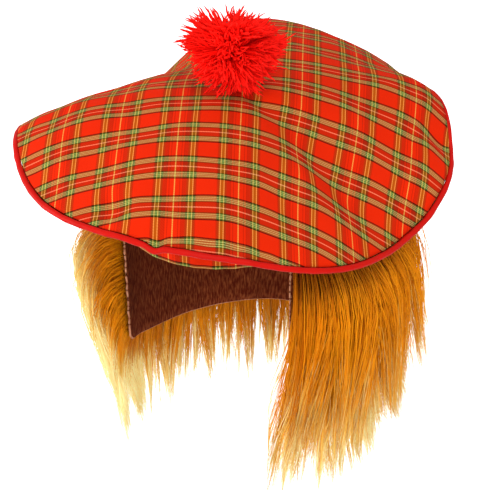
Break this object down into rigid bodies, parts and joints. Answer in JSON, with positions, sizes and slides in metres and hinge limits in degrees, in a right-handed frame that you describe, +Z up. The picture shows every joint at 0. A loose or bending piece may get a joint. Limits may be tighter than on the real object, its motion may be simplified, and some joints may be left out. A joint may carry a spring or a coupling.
{
  "type": "tartan tam with faux-fur hair",
  "caption": "Round tartan tam with piped rim and yarn pompom, and a strip of ginger faux-fur hair inside its headband, open at the face.",
  "frame": {"origin": "middle of the head opening, level with the headband's lower edge", "axes": "+Z up out of the crown, -Y the way the wearer looks, +X the wearer's left"},
  "size_m": [0.3044, 0.3237, 0.3759],
  "materials": {
    "tartan_cloth": "plain-woven tartan, matt",
    "red_satin": "satin binding, soft sheen",
    "brown_knit": "brushed knit backing, matt",
    "ginger_fur": "long acrylic pile, silky",
    "red_yarn": "loose yarn ends, matt"
  },
  "bodies": {
    "root": {"crown_top": "tartan_cloth", "crown_underside": "tartan_cloth", "rim_piping": "red_satin", "headband": "tartan_cloth", "hair_backing": "brown_knit", "hair": "ginger_fur", "pompom": "red_yarn"}
  },
  "joints": []
}
